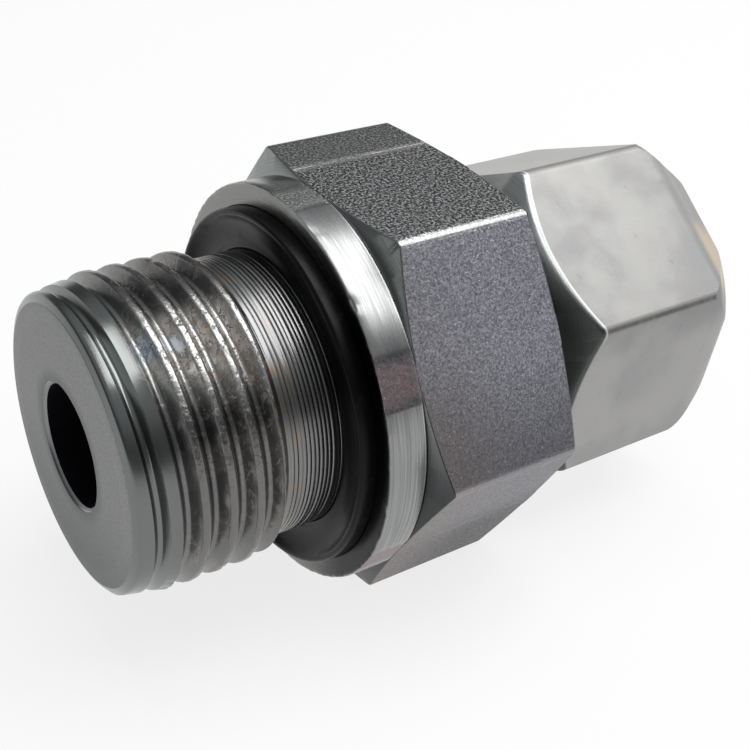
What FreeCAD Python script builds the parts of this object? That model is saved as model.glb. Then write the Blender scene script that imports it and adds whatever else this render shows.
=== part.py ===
import FreeCAD, Part
import math
import os

# Straight male stud fitting with a captive swivel nut, in millimetres.
# The axis of the fitting is X, and x = 0 is the collar's face that seats on the port.
# The stud points to -X and the nut to +X. One flat of the body's hexagon faces down, to -Z.

# Body: hexagon bar turned down at both ends
body_flats = 27.0
stud_length = 14.6
stud_face_dia = 18.3
stud_lead_length = 1.8
thread_major_dia = 20.955
thread_length = 9.2
neck_dia = 18.8
neck_slope = 50.0
collar_dia = 27.2
collar_edge_break = 0.15
collar_width = 2.6
collar_line_width = 0.12
collar_line_depth = 0.1
recess_dia = 24.4
recess_depth = 1.3
hexagon_width = 11.0
front_corner_slope = 20.0
back_corner_slope = 16.5
flow_bore_dia = 8.0
bore_edge_break = 0.25

# Swivel end of the body: shank, cone and seal groove
shank_dia = 14.0
shank_length = 9.1
cone_half_angle = 12.0
cone_length = 6.8
nose_edge_break = 0.4
cone_ring_place = 2.6
cone_ring_groove_width = 1.9
cone_ring_groove_dia = 10.3

# Soft rings
stud_seal_clearance = 0.05
stud_seal_proud = 1.17
stud_seal_ridge_width = 0.55
stud_seal_valley_dia = 20.4
stud_seal_valley_depth = 0.75
stud_seal_lip = 0.3
cone_ring_section = 1.5

# Swivel nut
nut_flats = 21.7
nut_length = 15.7
nut_gap = 2.6
nut_corner_radius = 0.8
nut_near_slope = 40.0
nut_near_face_dia = 20.2
nut_far_slope = 45.0
nut_far_corner_inset = 2.2
nut_taper_length = 1.55
nut_taper_angle = 30.0
nut_rim_break = 0.15
nut_turn = 6.2
nut_running_gap = 0.08
nut_wall = 4.4
nut_inner_slope = 45.0
nut_thread_minor_dia = 16.376
nut_mouth_dia = 18.4
nut_mouth_slope = 45.0
nut_edge_break = 0.3

# Wire that keeps the nut on the shank
wire_dia = 1.5
wire_gap_angle = 18.0
wire_seat_clearance = 0.04
wire_running_gap = 0.12
wire_place = 2.2

# Sides of the polygons that stand for round sections
section_sides = 8

body_back = collar_width + collar_line_width + hexagon_width
nut_near = body_back + nut_gap
nut_far = nut_near + nut_length
cone_start = body_back + shank_length
nose_tip = cone_start + cone_length
wire_x = nut_near + wire_place
full_turn = 360.0
axis_start = FreeCAD.Vector(0, 0, 0)
axis_direction = FreeCAD.Vector(1, 0, 0)


def slope_run(height, angle):
    """Length along the axis of a cone that rises by height at angle to the axis."""
    return height / math.tan(math.radians(angle))


def turned(outline, angle=full_turn):
    """Solid turned about X from a closed outline of (x, radius) points."""
    points = [FreeCAD.Vector(x, 0, radius) for x, radius in outline]
    face = Part.Face(Part.makePolygon(points + points[:1]))
    return face.revolve(axis_start, axis_direction, angle)


def section(x, radius, size):
    """Outline of a round section centred at x and radius: a polygon that is size wide between its sides."""
    reach = size / 2 / math.cos(math.pi / section_sides)
    angles = [(side + 0.5) * 2 * math.pi / section_sides for side in range(section_sides)]
    return [(x + reach * math.sin(angle), radius + reach * math.cos(angle)) for angle in angles]


def hexagon(flats, x):
    """Closed hexagon across the axis at x, with flats facing up and down."""
    corner_radius = flats / math.sqrt(3)
    angles = [math.radians(60 * step) for step in range(6)]
    points = [FreeCAD.Vector(x, corner_radius * math.cos(a), corner_radius * math.sin(a)) for a in angles]
    return Part.makePolygon(points + points[:1])


def hexagon_bar(flats, start, end):
    """Hexagon bar along X."""
    return Part.Face(hexagon(flats, start)).extrude(FreeCAD.Vector(end - start, 0, 0))


def edges_along_axis(solid):
    """Straight edges parallel to X."""
    found = []
    for edge in solid.Edges:
        ends = edge.Vertexes[-1].Point - edge.Vertexes[0].Point
        if abs(ends.x) > 0.5 * edge.Length and abs(ends.y) + abs(ends.z) < 0.01:
            found.append(edge)
    return found


def stud():
    """Stud with its lead-in and the narrow neck that the seal ring sits on."""
    major = thread_major_dia / 2
    neck = neck_dia / 2
    thread_end = thread_length - stud_length
    neck_start = thread_end + slope_run(major - neck, neck_slope)
    return turned([
        (-stud_length, 0),
        (-stud_length, stud_face_dia / 2),
        (-stud_length + stud_lead_length, major),
        (thread_end, major),
        (neck_start, neck),
        (recess_depth, neck),
        (recess_depth, 0),
    ])


def hexagon_blank():
    """Outer form that the bar is turned to: collar, fine line, and cones over the corners."""
    corner = body_flats / math.sqrt(3)
    flat = body_flats / 2
    collar = collar_dia / 2
    line = collar - collar_line_depth
    line_end = collar_width + collar_line_width
    front_corner = line_end + slope_run(corner - line, 90 - front_corner_slope)
    back_flat = slope_run(corner - flat, 90 - back_corner_slope)
    return turned([
        (0, 0),
        (0, collar - collar_edge_break),
        (collar_edge_break, collar),
        (collar_width, collar),
        (collar_width + collar_line_width / 2, line),
        (line_end, line),
        (front_corner, corner),
        (body_back - back_flat, corner),
        (body_back, flat),
        (body_back, 0),
    ])


def seal_recess():
    """Ring-shaped pocket in the collar's face."""
    return turned([
        (-1, neck_dia / 2),
        (recess_depth, neck_dia / 2),
        (recess_depth, recess_dia / 2),
        (-1, recess_dia / 2),
    ])


def swivel_end():
    """Shank that the nut turns on, and the cone that seals in the mating part."""
    shank = shank_dia / 2
    tip = shank - cone_length * math.tan(math.radians(cone_half_angle))
    tip_turn = nose_edge_break * math.tan(math.radians(cone_half_angle))
    return turned([
        (body_back - 1, 0),
        (body_back - 1, shank),
        (cone_start, shank),
        (nose_tip - nose_edge_break, tip + tip_turn),
        (nose_tip, tip - nose_edge_break),
        (nose_tip, 0),
    ])


def flow_bore():
    """Bore right through, with a small break at both mouths."""
    bore = flow_bore_dia / 2
    return turned([
        (-stud_length - 1, 0),
        (-stud_length - 1, bore + bore_edge_break + 1),
        (-stud_length + bore_edge_break, bore),
        (nose_tip - bore_edge_break, bore),
        (nose_tip + 1, bore + bore_edge_break + 1),
        (nose_tip + 1, 0),
    ])


def cone_ring_groove():
    """Groove round the cone for its seal ring."""
    start = cone_start + cone_ring_place
    end = start + cone_ring_groove_width
    return turned([
        (start, cone_ring_groove_dia / 2),
        (end, cone_ring_groove_dia / 2),
        (end, shank_dia),
        (start, shank_dia),
    ])


def wire_channel(clearance):
    """Round channel about the wire, wider than it by the clearance."""
    return turned(section(wire_x, shank_dia / 2, wire_dia + 2 * clearance))


def fitting_body():
    """Stud, collar, hexagon, shank and cone, turned from one piece of bar."""
    bar = hexagon_bar(body_flats, 0, body_back).common(hexagon_blank())
    bar = bar.cut(seal_recess())
    body = bar.fuse(stud()).fuse(swivel_end()).removeSplitter()
    body = body.cut(flow_bore())
    body = body.cut(cone_ring_groove())
    return body.cut(wire_channel(wire_seat_clearance))


def stud_seal_ring():
    """Profile ring held in the collar's recess, with a raised ridge round its front."""
    inner = neck_dia / 2 + stud_seal_clearance
    outer = recess_dia / 2 - stud_seal_clearance
    ridge_x = -stud_seal_proud + stud_seal_ridge_width / 2
    ridge = section(ridge_x, outer - stud_seal_ridge_width / 2, stud_seal_ridge_width)
    front = sorted((point for point in ridge if point[0] < ridge_x), key=lambda point: -point[1])
    return turned([
        (recess_depth, inner),
        (recess_depth, outer),
        *front,
        (-stud_seal_proud + stud_seal_valley_depth, stud_seal_valley_dia / 2),
        (-stud_seal_proud + stud_seal_lip, inner),
    ])


def cone_seal_ring():
    """Round ring in the cone's groove."""
    centre = cone_start + cone_ring_place + cone_ring_groove_width / 2
    ring_radius = cone_ring_groove_dia / 2 + cone_ring_section / 2
    return turned(section(centre, ring_radius, cone_ring_section))


def retaining_wire():
    """Open ring of wire, half in the shank and half in the nut."""
    wire = turned(section(wire_x, shank_dia / 2, wire_dia), full_turn - wire_gap_angle)
    wire.rotate(axis_start, axis_direction, full_turn / 2 + wire_gap_angle / 2)
    return wire


def nut_blank():
    """Outer form of the nut: cones over the corners at both ends."""
    corner = nut_flats / math.sqrt(3)
    near_face = nut_near_face_dia / 2
    near_corner = nut_near + (corner - near_face) * math.tan(math.radians(nut_near_slope))
    far_corner = nut_far - nut_far_corner_inset
    far_run = nut_far_corner_inset - nut_rim_break
    far_rim = corner - slope_run(far_run, nut_far_slope)
    return turned([
        (nut_near, 0),
        (nut_near, near_face),
        (near_corner, corner),
        (far_corner, corner),
        (nut_far - nut_rim_break, far_rim),
        (nut_far, far_rim - nut_rim_break),
        (nut_far, 0),
    ])


def nut_taper():
    """Hexagon bar whose flats lean in towards the far end."""
    start = nut_far - nut_taper_length
    end_flats = nut_flats - 2 * nut_taper_length * math.tan(math.radians(nut_taper_angle))
    taper = Part.makeLoft([hexagon(nut_flats, start), hexagon(end_flats, nut_far)], True, True)
    return hexagon_bar(nut_flats, nut_near, start).fuse(taper)


def nut_inside():
    """Bore over the shank, the cone behind the thread, the thread's bore and its mouth."""
    running = shank_dia / 2 + nut_running_gap
    minor = nut_thread_minor_dia / 2
    mouth = nut_mouth_dia / 2
    wall_end = nut_near + nut_wall
    thread_start = wall_end + slope_run(minor - running, nut_inner_slope)
    mouth_start = nut_far - slope_run(mouth - minor, nut_mouth_slope)
    return turned([
        (nut_near - 1, 0),
        (nut_near - 1, running + nut_edge_break + 1),
        (nut_near + nut_edge_break, running),
        (wall_end, running),
        (thread_start, minor),
        (mouth_start, minor),
        (nut_far, mouth),
        (nut_far + 1, mouth),
        (nut_far + 1, 0),
    ])


def swivel_nut():
    """Hexagon nut that turns on the shank, with a channel that runs over the wire."""
    bar = hexagon_bar(nut_flats, nut_near, nut_far)
    bar = bar.makeFillet(nut_corner_radius, edges_along_axis(bar))
    nut = bar.common(nut_blank()).common(nut_taper())
    nut.rotate(axis_start, axis_direction, 30 + nut_turn)
    nut = nut.cut(nut_inside())
    return nut.cut(wire_channel(wire_running_gap))


pieces = {
    "fitting_body": fitting_body(),
    "stud_seal_ring": stud_seal_ring(),
    "swivel_nut": swivel_nut(),
    "retaining_wire": retaining_wire(),
    "cone_seal_ring": cone_seal_ring(),
}

os.makedirs("parts", exist_ok=True)
for name, shape in pieces.items():
    shape.exportStep("parts/" + name + ".step")
    print(name, "valid", shape.isValid(), "solids", len(shape.Solids), "volume", round(shape.Volume, 1))
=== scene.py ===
import bpy
import bmesh
import math
from mathutils import Matrix, Vector, noise


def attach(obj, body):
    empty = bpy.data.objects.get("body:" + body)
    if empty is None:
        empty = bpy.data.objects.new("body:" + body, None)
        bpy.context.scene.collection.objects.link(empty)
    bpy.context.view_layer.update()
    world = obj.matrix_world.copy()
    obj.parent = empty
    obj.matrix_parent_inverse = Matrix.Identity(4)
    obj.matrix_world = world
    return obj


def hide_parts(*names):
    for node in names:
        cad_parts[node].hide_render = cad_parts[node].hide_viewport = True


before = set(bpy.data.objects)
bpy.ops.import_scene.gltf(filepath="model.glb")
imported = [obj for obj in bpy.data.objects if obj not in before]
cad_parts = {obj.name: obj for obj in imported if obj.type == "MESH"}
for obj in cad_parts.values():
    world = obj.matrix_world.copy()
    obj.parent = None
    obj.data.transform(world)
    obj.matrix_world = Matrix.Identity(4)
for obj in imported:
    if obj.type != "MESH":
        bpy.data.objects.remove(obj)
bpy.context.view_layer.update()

# Sizes are written in millimetres and become metres once, when a piece is finished.
# The fitting lies along X: x = 0 is the collar's seat face, the stud points to -X and the nut to +X.
millimetre = 0.001
mergeDistance = 1e-5  # a larger one closes slivers where the thread runs out and opens the mesh there
axisX = Vector((1, 0, 0))


def addNode(tree, kind, inputs=None, **settings):
    node = tree.nodes.new(kind)
    for name, value in settings.items():
        setattr(node, name, value)
    for name, value in (inputs or {}).items():
        if isinstance(value, bpy.types.NodeSocket):
            tree.links.new(value, node.inputs[name])
        else:
            node.inputs[name].default_value = value
    return node


def maths(tree, operation, *values):
    inputs = dict(enumerate(values))
    return addNode(tree, "ShaderNodeMath", inputs, operation=operation).outputs[0]


def times(tree, first, second):
    return maths(tree, "MULTIPLY", first, second)


def plus(tree, first, second):
    return maths(tree, "ADD", first, second)


def minus(tree, first, second):
    return maths(tree, "SUBTRACT", first, second)


def ease(tree, value, start, end, low=0.0, high=1.0):
    # soft step: low before start, high after end
    inputs = {"Value": value, "From Min": start, "From Max": end, "To Min": low, "To Max": high}
    return addNode(tree, "ShaderNodeMapRange", inputs, interpolation_type="SMOOTHSTEP").outputs["Result"]


def between(tree, value, start, end, soft):
    rising = ease(tree, value, start - soft, start + soft)
    falling = ease(tree, value, end - soft, end + soft, 1.0, 0.0)
    return times(tree, rising, falling)


def blend(tree, factor, first, second, blendType="MIX"):
    # first and second are colours, either sockets or (r, g, b)
    def full(colour):
        return colour if isinstance(colour, bpy.types.NodeSocket) else (*colour, 1.0)

    inputs = {0: factor, 6: full(first), 7: full(second)}
    return addNode(tree, "ShaderNodeMix", inputs, data_type="RGBA", blend_type=blendType).outputs[2]


def noisy(tree, place, scale, detail=3.0, roughness=0.55, distortion=0.0):
    inputs = {"Vector": place, "Scale": scale, "Detail": detail, "Roughness": roughness, "Distortion": distortion}
    return addNode(tree, "ShaderNodeTexNoise", inputs).outputs["Fac"]


def newGroup(name, inputs, outputs):
    tree = bpy.data.node_groups.new(name, "ShaderNodeTree")
    for label, kind in inputs:
        tree.interface.new_socket(name=label, in_out="INPUT", socket_type=kind)
    for label, kind in outputs:
        tree.interface.new_socket(name=label, in_out="OUTPUT", socket_type=kind)
    entry = tree.nodes.new("NodeGroupInput")
    leave = tree.nodes.new("NodeGroupOutput")
    return tree, entry.outputs, leave.inputs


def useGroup(tree, group, inputs):
    node = addNode(tree, "ShaderNodeGroup", node_tree=group)
    for name, value in inputs.items():
        if isinstance(value, bpy.types.NodeSocket):
            tree.links.new(value, node.inputs[name])
        else:
            node.inputs[name].default_value = value
    return node.outputs


def makeTurningMarks():
    # fine lines left by the lathe tool: they change fast along the part and slowly round it
    floatKind, vectorKind = "NodeSocketFloat", "NodeSocketVector"
    tree, given, wanted = newGroup("turningMarks", [("Place", vectorKind), ("Fineness", floatKind)],
                                   [("Lines", floatKind), ("Broad", floatKind)])
    split = addNode(tree, "ShaderNodeSeparateXYZ", {"Vector": given["Place"]}).outputs
    flat = addNode(tree, "ShaderNodeCombineXYZ", {"X": 0.0, "Y": split["Y"], "Z": split["Z"]}).outputs["Vector"]
    radius = addNode(tree, "ShaderNodeVectorMath", {0: flat}, operation="LENGTH").outputs["Value"]
    unit = addNode(tree, "ShaderNodeVectorMath", {0: flat}, operation="NORMALIZE").outputs["Vector"]
    round_ = addNode(tree, "ShaderNodeVectorMath", {0: unit, "Scale": 1.6}, operation="SCALE").outputs["Vector"]
    across = plus(tree, split["X"], times(tree, radius, 1.13))
    fine = times(tree, across, given["Fineness"])
    lift = addNode(tree, "ShaderNodeCombineXYZ", {"X": fine}).outputs["Vector"]
    place = addNode(tree, "ShaderNodeVectorMath", {0: round_, 1: lift}).outputs["Vector"]
    tree.links.new(noisy(tree, place, 1.0, 4.0, 0.7), wanted["Lines"])
    slow = times(tree, fine, 0.16)
    lift = addNode(tree, "ShaderNodeCombineXYZ", {"X": slow}).outputs["Vector"]
    place = addNode(tree, "ShaderNodeVectorMath", {0: round_, 1: lift}).outputs["Vector"]
    tree.links.new(noisy(tree, place, 1.0, 2.0, 0.5), wanted["Broad"])
    return tree


def makeGrain():
    # the plated grain of rolled bar: small pits and lit specks
    floatKind, vectorKind = "NodeSocketFloat", "NodeSocketVector"
    tree, given, wanted = newGroup("platedGrain", [("Place", vectorKind), ("Size", floatKind)],
                                   [("Grain", floatKind), ("Specks", floatKind), ("Cloud", floatKind)])
    scale = maths(tree, "DIVIDE", 1.0, given["Size"])
    grain = noisy(tree, given["Place"], scale, 3.0, 0.65)
    tree.links.new(grain, wanted["Grain"])
    cells = {"Vector": given["Place"], "Scale": times(tree, scale, 0.8)}
    cells = addNode(tree, "ShaderNodeTexVoronoi", cells)
    speck = ease(tree, cells.outputs["Distance"], 0.05, 0.42, 1.0, 0.0)
    tone = addNode(tree, "ShaderNodeSeparateColor", {"Color": cells.outputs["Color"]}).outputs[0]
    some = ease(tree, tone, 0.72, 0.9)
    tree.links.new(times(tree, speck, some), wanted["Specks"])
    tree.links.new(noisy(tree, given["Place"], 0.35, 3.0, 0.6), wanted["Cloud"])
    return tree


def makeStains():
    # soft-edged patches with a broken outline
    floatKind, vectorKind = "NodeSocketFloat", "NodeSocketVector"
    tree, given, wanted = newGroup("stains", [("Place", vectorKind), ("Size", floatKind), ("Amount", floatKind)],
                                   [("Mask", floatKind), ("Pits", floatKind)])
    scale = maths(tree, "DIVIDE", 1.0, given["Size"])
    cloud = noisy(tree, given["Place"], scale, 5.0, 0.65, 0.6)
    level = plus(tree, cloud, given["Amount"])
    tree.links.new(ease(tree, level, 0.56, 0.68), wanted["Mask"])
    pit = noisy(tree, given["Place"], times(tree, scale, 6.0), 3.0, 0.6, 0.4)
    tree.links.new(ease(tree, plus(tree, pit, times(tree, given["Amount"], 0.4)), 0.6, 0.7),
                   wanted["Pits"])
    return tree


turningMarks = makeTurningMarks()
platedGrain = makeGrain()
stains = makeStains()


def newMaterial(name, metallic):
    # returns the tree, the shader and the place on the part in millimetres with its parts
    material = bpy.data.materials.new(name)
    material.use_nodes = True
    tree = material.node_tree
    shader = tree.nodes["Principled BSDF"]
    shader.inputs["Metallic"].default_value = metallic
    coordinates = tree.nodes.new("ShaderNodeTexCoord").outputs["Object"]
    place = addNode(tree, "ShaderNodeMapping", {"Vector": coordinates, "Scale": (1 / millimetre,) * 3})
    place = place.outputs["Vector"]
    split = addNode(tree, "ShaderNodeSeparateXYZ", {"Vector": place}).outputs
    flat = addNode(tree, "ShaderNodeCombineXYZ", {"Y": split["Y"], "Z": split["Z"]}).outputs["Vector"]
    radius = addNode(tree, "ShaderNodeVectorMath", {0: flat}, operation="LENGTH").outputs["Value"]
    return material, tree, shader, {"place": place, "x": split["X"], "y": split["Y"], "z": split["Z"], "r": radius}


def bump(tree, shader, height, distance):
    node = addNode(tree, "ShaderNodeBump", {"Height": height, "Distance": distance * millimetre})
    tree.links.new(node.outputs["Normal"], shader.inputs["Normal"])


def setShader(tree, shader, colour, roughness):
    tree.links.new(colour, shader.inputs["Base Color"])
    tree.links.new(roughness, shader.inputs["Roughness"])


def arc(centreX, centreR, radius, start, end, steps):
    # points on an arc in the (x, r) plane, degrees counted from +X towards a larger radius
    angles = [math.radians(start + (end - start) * i / steps) for i in range(steps + 1)]
    return [(centreX + radius * math.cos(a), centreR + radius * math.sin(a)) for a in angles]


def drawOutline(bm, points, closed=False):
    verts = [bm.verts.new((x, 0, r)) for x, r in points]
    edges = [bm.edges.new(pair) for pair in zip(verts, verts[1:])]
    if closed:
        edges.append(bm.edges.new((verts[-1], verts[0])))
    return verts + edges


def turn(points, segments):
    # lathe work: spins a closed outline right round the axis
    bm = bmesh.new()
    geometry = drawOutline(bm, points, closed=True)
    bmesh.ops.spin(bm, geom=geometry, cent=(0, 0, 0), axis=axisX, dvec=(0, 0, 0),
                   angle=math.tau, steps=segments, use_merge=True, use_duplicate=False)
    bmesh.ops.recalc_face_normals(bm, faces=bm.faces[:])
    return bm


def makeMesh(bm, name):
    mesh = bpy.data.meshes.new(name)
    bm.to_mesh(mesh)
    bm.free()
    return mesh


def makeObject(mesh, name):
    piece = bpy.data.objects.new(name, mesh)
    bpy.context.scene.collection.objects.link(piece)
    return piece


def cutTogether(base, tool, operation):
    # exact boolean of two closed shapes: the helpers go and the result comes back
    first = makeObject(makeMesh(base, "baseWork"), "baseWork")
    second = makeObject(makeMesh(tool, "toolWork"), "toolWork")
    cutter = first.modifiers.new("cut", "BOOLEAN")
    cutter.operation = operation
    cutter.solver = "EXACT"
    cutter.object = second
    graph = bpy.context.evaluated_depsgraph_get()
    result = bpy.data.meshes.new_from_object(first.evaluated_get(graph))
    meshes = [first.data, second.data, result]
    for helper in (first, second):
        bpy.data.objects.remove(helper)
    bm = bmesh.new()
    bm.from_mesh(result)
    for mesh in meshes:
        bpy.data.meshes.remove(mesh)
    bmesh.ops.remove_doubles(bm, verts=bm.verts[:], dist=mergeDistance)
    return bm


def cutToBar(bm, bar):
    # leaves what lies inside a convex bar: one plane cut and one new face for each of its long sides
    bmesh.ops.recalc_face_normals(bar, faces=bar.faces[:])
    planes = [(f.calc_center_median(), f.normal.copy()) for f in bar.faces if abs(f.normal.x) < 0.99]
    bar.free()
    for point, outwards in planes:
        geometry = bm.verts[:] + bm.edges[:] + bm.faces[:]
        cut = bmesh.ops.bisect_plane(bm, geom=geometry, dist=mergeDistance, plane_co=point, plane_no=outwards,
                                     clear_outer=True)["geom_cut"]
        rim = [g for g in cut if isinstance(g, bmesh.types.BMEdge) and g.is_boundary]
        bmesh.ops.holes_fill(bm, edges=rim, sides=0)
    bmesh.ops.remove_doubles(bm, verts=bm.verts[:], dist=mergeDistance)


def openEdges(bm, x=None):
    return [e for e in bm.edges if e.is_boundary
            and (x is None or all(abs(v.co.x - x) < 1e-3 for v in e.verts))]


def screwThread(thread, fromX, toX):
    # right-hand screw: one pitch of its profile moves along the axis while it turns, cut square at both ends
    bm = bmesh.new()
    pitch = thread["pitch"]
    firstX = thread["crestX"] - pitch * math.ceil((thread["crestX"] - fromX) / pitch + 1)
    turns = math.ceil((toX - firstX) / pitch + 1)
    profile = [(firstX + x, r) for x, r in thread["profile"]]
    bmesh.ops.spin(bm, geom=drawOutline(bm, profile), cent=(0, 0, 0), axis=axisX,
                   dvec=axisX * (pitch / thread["steps"]), angle=math.tau,
                   steps=thread["steps"], use_merge=False, use_duplicate=False)
    firstTurn = bm.verts[:] + bm.edges[:] + bm.faces[:]
    for count in range(1, turns):
        copied = bmesh.ops.duplicate(bm, geom=firstTurn)["geom"]
        bmesh.ops.translate(bm, vec=axisX * pitch * count,
                            verts=[g for g in copied if isinstance(g, bmesh.types.BMVert)])
    bmesh.ops.remove_doubles(bm, verts=bm.verts[:], dist=2e-3)
    for x, side in ((fromX, -1), (toX, 1)):
        geometry = bm.verts[:] + bm.edges[:] + bm.faces[:]
        bmesh.ops.bisect_plane(bm, geom=geometry, dist=1e-6, plane_co=(x, 0, 0), plane_no=(side, 0, 0),
                               clear_outer=True)
    return bm


def hexagonBar(flats, cornerRadius, startX, endX, turned):
    # rolled hexagon bar with round long edges; turned is counted about +X from flats up and down
    bm = bmesh.new()
    bmesh.ops.create_circle(bm, cap_ends=True, segments=6, radius=flats / math.sqrt(3))
    bmesh.ops.bevel(bm, geom=bm.verts[:], offset=cornerRadius * math.tan(math.radians(30)), offset_type="OFFSET",
                    segments=6, profile=0.5, affect="VERTICES", clamp_overlap=True, material=-1)
    bmesh.ops.rotate(bm, cent=(0, 0, 0), matrix=Matrix.Rotation(math.radians(90), 3, "Y"), verts=bm.verts[:])
    flatUp = Matrix.Rotation(math.radians(turned), 3, "X")
    bmesh.ops.rotate(bm, cent=(0, 0, 0), matrix=flatUp, verts=bm.verts[:])
    bmesh.ops.translate(bm, vec=(startX, 0, 0), verts=bm.verts[:])
    pullOut(bm, endX - startX, 1)
    return bm


def pullOut(bm, length, growth):
    # draws the last end face of a bar on by a length along the axis, and widens or narrows it
    bm.faces.ensure_lookup_table()
    lastX = max(f.calc_center_median().x for f in bm.faces)
    ends = [f for f in bm.faces if len(f.verts) > 6 and abs(f.calc_center_median().x - lastX) < 1e-4]
    isSolid = len(bm.faces) > 1
    grown = bmesh.ops.extrude_face_region(bm, geom=ends)["geom"]
    if isSolid:
        bmesh.ops.delete(bm, geom=ends, context="FACES_ONLY")
    verts = [g for g in grown if isinstance(g, bmesh.types.BMVert)]
    bmesh.ops.scale(bm, vec=(1, growth, growth), verts=verts)
    bmesh.ops.translate(bm, vec=(length, 0, 0), verts=verts)


def finishPiece(bm, name, rides, node, materials, smoothAngle=32):
    bmesh.ops.recalc_face_normals(bm, faces=bm.faces[:])
    open_ = sum(1 for e in bm.edges if len(e.link_faces) != 2)
    bmesh.ops.scale(bm, vec=(millimetre,) * 3, verts=bm.verts[:])
    piece = makeObject(makeMesh(bm, name), name)
    for polygon in piece.data.polygons:
        polygon.use_smooth = True
    piece.data.set_sharp_from_angle(angle=math.radians(smoothAngle))
    for material in materials:
        piece.data.materials.append(material)
    keepFlat = piece.modifiers.new("keepFlatsFlat", "WEIGHTED_NORMAL")
    keepFlat.keep_sharp = True
    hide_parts(node)
    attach(piece, rides)
    print("made", name, len(piece.data.polygons), "faces, open edges", open_)
    return piece


body = {
    "segments": 256,
    "studFaceX": -14.6, "studFaceRadius": 9.15, "threadRadius": 10.3,
    "leadIn": [(-14.42, 9.5), (-14.3, 9.63), (-14.15, 9.68), (-13.75, 9.76), (-13.3, 9.84), (-12.4, 9.98),
               (-11.7, 10.2), (-11.3, 10.3)],
    "threadEndX": -5.2, "neckX": -4.5, "neckRadius": 9.4, "runOutX": -4.4,
    "ringPitch": 0.3, "ringDepth": 0.036, "ringEndX": 0.9,
    "boreRadius": 4.0, "boreBreak": 0.25,
    "recessRadius": 12.2, "recessX": 1.3,
    "collarRadius": 13.6, "collarBreak": 0.15, "collarEndX": 2.6, "lineEndX": 2.72, "lineRadius": 13.485,
    "flats": 27.0, "cornerRadius": 0.45, "blankRadius": 15.7, "frontSlope": 20, "backSlope": 16.5, "backX": 13.72,
    "rimBreak": 0.09, "nickAngle": 51.4, "nickSize": 0.45, "burr": 0.1,
    "shankRadius": 7.0, "coneStartX": 22.82, "coneEndX": 29.62, "coneAngle": 12, "noseBreak": 0.4,
    "wireX": 18.52, "wireGroove": 0.79,
    "ringGrooveX": 25.42, "ringGrooveWidth": 1.9, "ringGrooveRadius": 5.15,
}
studThread = {
    "pitch": 1.814, "crestX": -14.067, "steps": 160,
    "profile": [(-1.274, 9.35), (-1.184, 9.365), (-1.094, 9.41), (-1.024, 9.48), (-0.67, 10.12), (-0.62, 10.195),
                (-0.56, 10.235), (-0.46, 10.255), (-0.3, 10.26), (-0.2, 10.245), (-0.13, 10.195), (-0.08, 10.12),
                (0.29, 9.48), (0.36, 9.41), (0.45, 9.365), (0.54, 9.35)],
}


def slopeRun(height, angle):
    return height * math.tan(math.radians(angle))


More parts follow.
